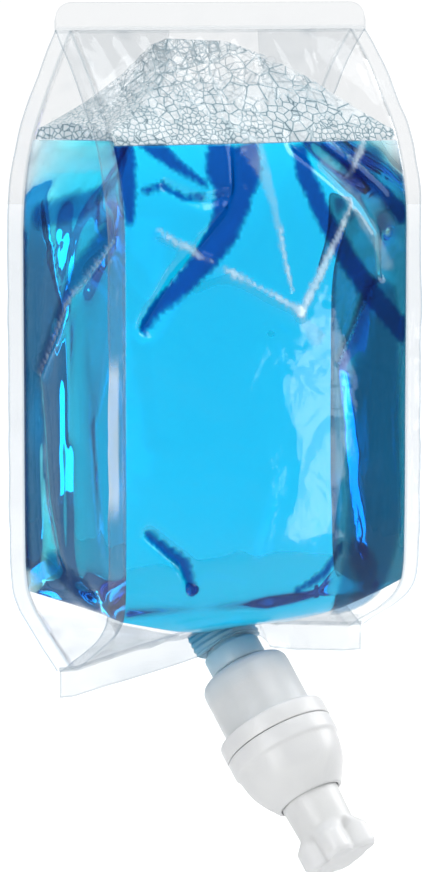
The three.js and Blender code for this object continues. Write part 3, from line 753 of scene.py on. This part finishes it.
def top_seal():
    """The flat weld band at the top, with rounded corners and the line of the weld bar."""
    half = SEAM + 6
    xs = np.linspace(-half, half, 150)
    over = np.maximum(np.abs(xs) - (half - SEAL_CORNER), 0)
    top = SEAL_RISE - SEAL_CORNER + np.sqrt(np.maximum(SEAL_CORNER ** 2 - over ** 2, 0))
    z = np.linspace(-SEAL_RISE, top, 26, axis=1)
    band = np.stack([np.repeat(xs[:, None], 26, 1), np.full(z.shape, SEAL_MIDDLE), z], 2)
    weld = np.exp(-((z + 3.4) / 0.5) ** 2)
    wave = (waves(band, 26, 3) * 0.5 + waves(band, 7, 17) * 0.12) * smooth(-5, 2, z)
    band[..., 1] += np.clip(wave, -0.18, 0.18)
    white = 0.06 + 0.25 * weld + 0.08 * np.clip(waves(band, 14, 51), 0, 1)
    grey = 0.015 + 0.06 * weld
    grey[[0, -1]] = grey[:, -1] = 0.12
    thick = (0.13 + 0.05 * weld)[..., None] * OUTWARD
    return shell_of((band + thick) * MM, (band - thick) * MM, closed=False), white, grey


def bottom_seal(side):
    """One of two films that part round the spout's boat-shaped block and are welded flat beside it."""
    row = row_at(LAST)
    xs = np.linspace(-SEAM - 5.5, SEAM + 5.5, 130)
    ts = np.linspace(0, 1, 14)
    down, out = np.array([0, 0, -1.0]), -np.array(AXIS)
    sheet = np.zeros((len(xs), len(ts), 3))
    push = np.zeros((len(xs), 3))
    for i, x in enumerate(xs):
        across = down + (out - down) * math.exp(-((x / 26) ** 2))
        across /= np.linalg.norm(across)
        seam = min(max(x, -SEAM), SEAM)
        root = np.array([x, row_middle(row, seam), float(row_height(row, x)) + 1.2])
        face = np.cross(across, [1.0, 0, 0])
        face /= np.linalg.norm(face)
        face *= -side if face[1] < 0 else side
        share = min(abs(x - 0.5) / BLOCK_HALF, 1)
        around = BLOCK_OPENING * (1 - share ** 2) if share < 1 else 0
        push[i] = face
        for k, t in enumerate(ts):
            open_up = around * smooth(0.0, 0.35, t) * (1 - 0.12 * smooth(0.7, 1, t))
            sheet[i, k] = root + across * SEAL_DROP * t + face * (open_up + 0.18)
    ripple = waves(sheet, 12, 60 + side) * 0.8 + waves(sheet, 5, 70 + side) * 0.3
    loose = smooth(0.2, 1, ts)[None] * np.minimum(np.abs(xs[:, None]) / 30, 1)
    sheet += (ripple * loose * 0.8)[..., None] * np.array([0, 1.0, 0.2])
    # painted highlights on the ripples' crests and painted shade in their troughs
    white = 0.09 + 0.6 * np.clip(ripple, 0, 1) ** 2 * loose
    grey = 0.02 + 0.10 * np.clip(-ripple, 0, 1) * loose
    grey[:, -1] = 0.14
    grey[[0, -1]] = 0.12
    skin = push[:, None] * 0.11
    return shell_of((sheet + skin) * MM, (sheet - skin) * MM, closed=False), white, grey


film_body()
fins = [fin(column, side_x, side_y, seed) for column, side_x, side_y, seed in zip(
    CORNERS, (-1, 1, 1, -1), (-1, -1, 1, 1), (100, 140, 180, 220))]
seals = [top_seal(), bottom_seal(-1), bottom_seal(1)]
for name, parts in (("film_fins", fins), ("film_seals", seals)):
    shells, whites, greys = zip(*parts)
    obj = new_object(name, *joined(shells), FILM, "pack", "clear_film", 40)
    mark(obj, "whitening_and_glow", whites)
    mark(obj, "shade", greys)


# ---- Contents ----

# points of (x, z) in mm, from left to right
SOAP_FLOOR = [(-51.5, -191), (-30, -196.5), (-12, -199.6), (12, -199.6), (32, -193.5), (51.5, -185)]
FROTH_ROOF = [
    (-53, -37), (-45, -33), (-36, -27), (-28, -19), (-22, -9), (-17, -7),
    (4, -8), (14, -12), (28, -20), (40, -29), (52, -37)]
BUBBLE_ROOF = [
    (-53, -36), (-45, -32), (-36, -26), (-28, -18), (-22, -8),
    (4, -8), (14, -11), (28, -19), (40, -28), (52, -36)]
BUBBLE_SIZES = [4.2, 3.7, 3.3, 3.0, 2.8, 2.6] + [2.2] * 9 + [1.7] * 16 + [1.2] * 24 + [0.8] * 30


def cut_off(bm, point, normal):
    """Cuts off what lies beyond a plane, and closes the opening."""
    bmesh.ops.bisect_plane(
        bm, geom=list(bm.verts) + list(bm.edges) + list(bm.faces),
        plane_co=point, plane_no=normal, clear_outer=True)
    bmesh.ops.holes_fill(bm, edges=[e for e in bm.edges if e.is_boundary], sides=0)


def add_contents(bm, name, look, node_name):
    """Closes what fills part of the pouch into a piece that stands for a node."""
    bmesh.ops.triangulate(bm, faces=[f for f in bm.faces if len(f.verts) > 4])
    bmesh.ops.recalc_face_normals(bm, faces=bm.faces)
    obj = add_piece(bm, name, look, "pack", 50)
    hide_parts(node_name)


def liquid():
    """The soap fills the pouch up to its level, down to flat cuts in the folded end."""
    bm = bmesh_of((OUTER - NORMAL * 0.12).reshape(-1, 3) * MM, grid_faces(ROWS, len(COLUMN)))
    for (x0, z0), (x1, z1) in zip(SOAP_FLOOR, SOAP_FLOOR[1:]):
        cut_off(bm, (x0 * MM, 0, z0 * MM), Vector((z1 - z0, 0, x0 - x1)).normalized())
    cut_off(bm, (0, 0, LEVEL * MM), (0, 0, 1))
    add_contents(bm, "soap", LIQUID, "liquid_soap")


def froth():
    """The froth fills the pouch from the liquid up to its own roof."""
    grid = OUTER - NORMAL * 0.9
    roof = np.interp(grid[..., 0], *zip(*FROTH_ROOF))
    keep = (grid[..., 2] < roof + 4).any(1)
    grid, roof = grid[keep], roof[keep]
    z = grid[..., 2]
    grid[..., 2] = np.where(z > roof, roof + (z - roof) * 0.08, z)
    bm = bmesh_of(grid.reshape(-1, 3) * MM, grid_faces(len(grid), len(COLUMN)))
    cut_off(bm, (0, 0, (LEVEL + 0.2) * MM), (0, 0, -1))
    add_contents(bm, "froth_mass", FROTH, "soap_froth")


def bubbles():
    """Single bubbles against the film, in a pack of many sizes."""
    random.seed(11)
    z = OUTER[..., 2]
    roof = np.interp(OUTER[..., 0], *zip(*BUBBLE_ROOF))
    rows, columns = np.nonzero((z < roof) & (z > LEVEL + 0.5))
    spots = list(zip(rows.tolist(), columns.tolist()))
    placed = []
    for size in BUBBLE_SIZES:
        for _ in range(60):
            r, c = random.choice(spots)
            radius = size * random.uniform(0.9, 1.1)
            centre = OUTER[r, c] - NORMAL[r, c] * (radius + 0.35)
            if abs(centre[0]) < 51 and all(
                    np.linalg.norm(centre - p) > 0.93 * (radius + q) for p, q in placed):
                placed.append((centre, radius))
                break
    bm = bmesh.new()
    for centre, radius in placed:
        place = Matrix.Translation(Vector(centre) * MM)
        bmesh.ops.create_icosphere(
            bm, subdivisions=3 if radius > 1.7 else 2, radius=radius * MM, matrix=place)
    add_piece(bm, "froth_bubbles", BUBBLE, "pack")


liquid()
froth()
bubbles()


# ---- Pump ----

def rounded(profile, radius, steps=4):
    """A closed profile with its corners rounded, by a point's own third number or else by radius."""
    points = []
    count = len(profile)
    for i, point in enumerate(profile):
        r = point[2] if len(point) > 2 else radius
        p = Vector(point[:2])
        a, b = Vector(profile[i - 1][:2]), Vector(profile[(i + 1) % count][:2])
        reach = min(r, 0.45 * (a - p).length, 0.45 * (b - p).length)
        if reach < 0.02 or p.x == 0:
            points.append(tuple(p))
            continue
        start, end = p + (a - p).normalized() * reach, p + (b - p).normalized() * reach
        for k in range(steps + 1):
            t = k / steps
            points.append(tuple(start * (1 - t) ** 2 + p * 2 * t * (1 - t) + end * t ** 2))
    return points


def lathe(profile, radius=0.3, around=96, shape=None):
    """Turns a closed (radius, height, rounding) profile about the pump's axis."""
    points = rounded(profile, radius)
    count = len(points)
    verts = []
    for j in range(around):
        angle = 2 * math.pi * j / around
        for r, z in points:
            reach = shape(angle, r, z) if shape else r
            verts.append((reach * math.cos(angle), reach * math.sin(angle), z))
    faces = []
    for j in range(around):
        k = (j + 1) % around
        for i in range(count):
            n = (i + 1) % count
            faces.append([j * count + i, j * count + n, k * count + n, k * count + i])
    return np.array(verts), faces


def pump_piece(name, parts, look, body, slot, node_name, sharp=35):
    """Puts parts made about the pump's axis, in mm, in their place as one piece."""
    verts, faces = joined(parts)
    place = np.array(PUMP)
    verts = (verts * MM) @ place[:3, :3].T + place[:3, 3]
    obj = new_object(name, verts, faces, look, body, slot, sharp)
    bm = bmesh.new()
    bm.from_mesh(obj.data)
    bmesh.ops.remove_doubles(bm, verts=bm.verts, dist=1e-7)
    bmesh.ops.recalc_face_normals(bm, faces=bm.faces)
    bm.to_mesh(obj.data)
    bm.free()
    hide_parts(node_name)
    return obj


def boat(low, high):
    """The spout's boat-shaped block, with weld ribs and rounded ends."""
    half_width, half_depth, blunt, rib_pitch, rounding = 12.5, 8.8, 0.4, 2.0, 0.6
    around, levels = 120, 25
    verts = []
    for k in range(levels):
        z = low + (high - low) * k / (levels - 1)
        rib = 0.25 * math.cos(2 * math.pi * (z - low) / rib_pitch)
        end = min(z - low, high - z, rounding) / rounding
        inset = 0.5 * (1 - math.sqrt(max(1 - (1 - end) ** 2, 0))) + 0.25 - rib * min(end, 1)
        for j in range(around):
            t = -1 + 4 * (j % (around // 2)) / around
            side = 1 if j < around // 2 else -1
            depth = blunt + (half_depth - blunt - inset) * (1 - t * t)
            verts.append((side * t * (half_width - inset), -side * depth, z))
    faces = grid_faces(levels, around)
    faces.append(list(range(around))[::-1])
    faces.append([(levels - 1) * around + j for j in range(around)])
    return np.array(verts), faces


# closed profiles: mm from the pump's axis, mm along it from the seat, and how round the corner is
SPOUT_NECK = [
    (6.4, 22.4), (9.75, 22.4, 0.8), (9.75, 29.4, 1.2), (7.9, 29.4, 0.6), (7.9, 40.5, 0.5), (6.4, 40.5),
]
CYLINDERS = [
    (1.2, 20.4), (4.7, 20.4), (4.7, 34), (6.1, 34), (6.1, 21.2, 0.8), (15.3, 21.2, 5.6),
    (15.3, -1.2, 0.4), (16.6, -1.2, 0.2), (16.6, -3.2, 0.2), (15.3, -3.2, 0.2), (15.3, -8.6, 0.3),
    (14, -8.6, 0.3), (14, 19.9, 4), (6.4, 19.9, 0.5), (6.4, 5, 0.3), (5, 5, 0.3), (5, 18.9, 0.3),
    (1.2, 18.9, 0.2),
]
RING = [
    (15.6, 0, 0.5), (18.8, 0, 1.1), (18.8, -6.1, 0.35), (16.9, -6.1, 0.2), (16.9, -0.9, 0.2),
    (15.6, -0.9, 0.2),
]
DOME = [
    (16.6, -3.5), (16.6, -6.4, 0.1), (18.7, -6.4, 0.3), (18.7, -11.6, 0.7), (17.9, -12.6, 0.7),
    (17.5, -15.5, 2), (16.9, -18.5, 2), (15.8, -21.3, 2), (14.3, -24, 2), (12.6, -26.6, 2),
    (11.4, -28.3, 0.6), (10.4, -28.5, 0.3), (10.4, -27, 0.4), (11.3, -25.9, 1), (12.9, -23.2, 2),
    (14.4, -20.6, 2), (15.5, -18, 2), (16.1, -15.2, 2), (16.1, -11, 0.5), (13.2, -9.9, 0.2),
    (13.2, -8.9, 0.2), (15.6, -8.9, 0.2), (15.6, -3.5, 0.2),
]
STEM = [
    (6.9, -7.7), (8.3, -7.7, 0.4), (8.3, -9.5, 0.4), (11.5, -9.5, 0.3), (11.5, -11, 0.3),
    (8.3, -11, 0.5), (8.3, -40, 1.6), (5.2, -42.5, 0.8), (5.2, -47, 0.5), (3.8, -47, 0.4),
    (3.8, -41.5, 0.6), (5.4, -34.9, 0.5), (5.4, -32.4, 0.3), (6.9, -32.4, 0.2),
]
CAP = [
    (8.7, -27, 0.3), (10, -27, 0.5), (9.75, -33, 2), (9.5, -38, 2), (9.5, -39.5, 0.5),
    (9.75, -41, 0.7), (9.85, -42.5, 0.7), (9.9, -44, 0.7), (9.9, -45.5, 0.7), (9.9, -47, 0.7),
    (9.9, -50.2, 1.6), (8.9, -51.6, 1.0), (7.5, -52, 0.5), (0, -52), (0, -47.6), (5.8, -47.6, 0.3),
    (5.8, -44, 0.6), (8.7, -41.2, 0.8),
]
CAP_RADIUS, CAP_BORE = 9.9, 8.9
LOBES, LOBE_HEIGHT, LOBE_TURN = 4, 2.6, math.radians(-24)
LOBE_START, LOBE_FULL = -39.5, -44.0


def cap_shape(angle, r, z):
    """Rounded lobes grow out of the sleeve towards its closed end."""
    if r < CAP_BORE:
        return r
    turn = math.cos(LOBES * (angle - LOBE_TURN))
    crown = (0.5 + 0.5 * turn) ** 0.8 * 2 - 1
    return r + LOBE_HEIGHT * smooth(LOBE_START, LOBE_FULL, z) * crown * min(r / CAP_RADIUS, 1)


pump_piece("spout", [lathe(SPOUT_NECK, 0.4), boat(30.8, 38.6)],
           NATURAL, "pack", "natural_plastic", "spout_fitment")
pump_piece("cylinder_body", [lathe(CYLINDERS)], NATURAL, "pack", "natural_plastic", "pump_body")
pump_piece("cradle_ring", [lathe(RING, 0.3, 128)], WHITE, "pack", "white_plastic", "collar_ring")
pump_piece("dome", [lathe(DOME, 0.2, 128)], WHITE, "pack", "white_plastic", "dome_cover")
pump_piece("stem", [lathe(STEM)], WHITE, "plunger", "white_plastic", "nozzle_stem")
pump_piece("cap", [lathe(CAP, 0.3, 144, cap_shape)], WHITE, "cap", "white_plastic", "shipping_cap")


SPRING_TOP, SPRING_BOTTOM = 18.6, -5.9


def spring():
    """A round wire coil with one closed turn at each end."""
    mean, wire, turns, sides = 9.0, 1.1, 7, 12
    steps = turns * 40
    height = SPRING_TOP - SPRING_BOTTOM - wire
    close = wire * 1.12
    end = 1 / turns
    path = []
    for i in range(steps + 1):
        t = i / steps
        free = min(max((t - end) / (1 - 2 * end), 0), 1)
        ends = min(t / end, 1) + max((t - 1 + end) / end, 0)
        angle = 2 * math.pi * turns * t
        rise = wire / 2 + close * ends + (height - 2 * close) * free
        path.append(Vector((mean * math.cos(angle), mean * math.sin(angle), SPRING_BOTTOM + rise)))
    verts = []
    for i, p in enumerate(path):
        ahead = (path[min(i + 1, steps)] - path[max(i - 1, 0)]).normalized()
        out = Vector((p.x, p.y, 0)).normalized()
        up = ahead.cross(out).normalized()
        for k in range(sides):
            a = 2 * math.pi * k / sides
            verts.append(tuple(p + (out * math.cos(a) + up * math.sin(a)) * wire / 2))
    faces = grid_faces(steps + 1, sides)
    faces.append(list(range(sides))[::-1])
    faces.append([steps * sides + k for k in range(sides)])
    return np.array(verts), faces


coil = pump_piece("coil_spring", [spring()], STEEL, "pack", "spring_steel", "return_spring", sharp=60)
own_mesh(coil)

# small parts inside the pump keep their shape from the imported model
CARRIED = {
    "neck_gasket": SEAL, "inlet_valve": SEAL, "air_valve": SEAL, "outlet_valve": SEAL,
    "liquid_piston": WHITE, "air_piston": WHITE, "mixing_tube": NATURAL,
    "coarse_screen": SCREEN, "fine_screen": SCREEN,
}
for node_name, look in CARRIED.items():
    materials = frame["nodes"][node_name].data.materials
    materials.clear()
    materials.append(look)


# ---- Floor, light and world ----

BEHIND = Vector((-BACK.x, -BACK.y, 0)).normalized()
BESIDE = Matrix.Rotation(math.radians(-43), 3, "Z") @ BEHIND
ABOVE = Matrix.Rotation(math.radians(38), 3, RIGHT) @ BEHIND
FLOOR_HEIGHT = -0.42
AMBIENT = 0.32


def light_pool(tree, direction, spread, start, near, peak):
    """A soft-edged wedge of light on the floor, widening away from the object."""
    away = along(tree, "Object", direction)
    aside = along(tree, "Object", direction.cross(Vector((0, 0, 1))))
    span = math_node(tree, "MULTIPLY_ADD", away, spread, start)
    part = math_node(tree, "DIVIDE", math_node(tree, "ABSOLUTE", aside), span)
    begun = ranged(tree, away, *near, 0, 1)
    within = ranged(tree, part, 0.75, 1.35, peak, 0)
    return math_node(tree, "MULTIPLY", begun, within)


def floor():
    """A pale floor, with soft pools of light on it behind and beside the object."""
    bm = bmesh.new()
    bmesh.ops.create_circle(bm, cap_ends=True, radius=6, segments=96)
    mesh = bpy.data.meshes.new("floor")
    bm.to_mesh(mesh)
    bm.free()
    obj = bpy.data.objects.new("floor", mesh)
    obj.location.z = FLOOR_HEIGHT
    bpy.context.scene.collection.objects.link(obj)
    mat, tree, shader = material(
        "floor_paper", Base_Color=(0.8, 0.8, 0.8, 1), Roughness=0.9, Emission_Color=(1, 1, 1, 1))
    behind = light_pool(tree, BEHIND, spread=0.24, start=0.22, near=(0.15, 0.60), peak=0.80)
    beside = light_pool(tree, BESIDE, spread=0.34, start=0.05, near=(0.25, 0.80), peak=0.55)
    connect(tree, shader.inputs["Emission Strength"], math_node(tree, "MAXIMUM", behind, beside))
    mesh.materials.append(mat)


def area(name, location, aim, size, size_y, power):
    light = bpy.data.lights.new(name, "AREA")
    light.shape = "RECTANGLE"
    light.size, light.size_y = size, size_y
    light.energy = power
    obj = bpy.data.objects.new(name, light)
    obj.location = location
    obj.rotation_euler = (Vector(location) - Vector(aim)).to_track_quat("Z", "Y").to_euler()
    bpy.context.scene.collection.objects.link(obj)


def world():
    """A bright backdrop beyond the object and softer light from everywhere else."""
    studio = bpy.data.worlds.new("studio")
    studio.use_nodes = True
    bpy.context.scene.world = studio
    tree = studio.node_tree
    lobes = (BEHIND, 0.80, 0.93, 1), (BESIDE, 0.86, 0.96, 0.7), (ABOVE, 0.80, 0.93, 0.85)
    level = AMBIENT
    for direction, low, high, peak in lobes:
        lobe = ranged(tree, along(tree, "Generated", direction), low, high, AMBIENT, peak)
        level = math_node(tree, "MAXIMUM", level, lobe)
    tone = ramp(tree, level, [(0, (0, 0, 0)), (AMBIENT, (0.31, 0.32, 0.335)), (1, (1, 1, 1))])
    background = tree.nodes["Background"]
    connect(tree, background.inputs["Color"], tone)
    background.inputs["Strength"].default_value = 1.05


floor()
world()
area("strip", (0.57, -0.84, -0.275), (0, -0.04, -0.13), 0.11, 0.17, 0.24)
area("key", (1.25, -0.15, 0.55), (0, 0, -0.18), 0.9, 0.9, 10.5)
area("left", (-1.2, -0.75, 0.15), (0, 0, -0.18), 0.6, 1.0, 8)
area("top", (0.1, -0.35, 1.3), (0, 0, -0.1), 1.0, 1.0, 10.5)

scene = bpy.context.scene
scene.view_settings.view_transform = "Standard"
scene.cycles.max_bounces = 16
scene.cycles.transmission_bounces = 16
scene.cycles.glossy_bounces = 6
scene.cycles.diffuse_bounces = 3
scene.cycles.transparent_max_bounces = 40
scene.cycles.volume_bounces = 0
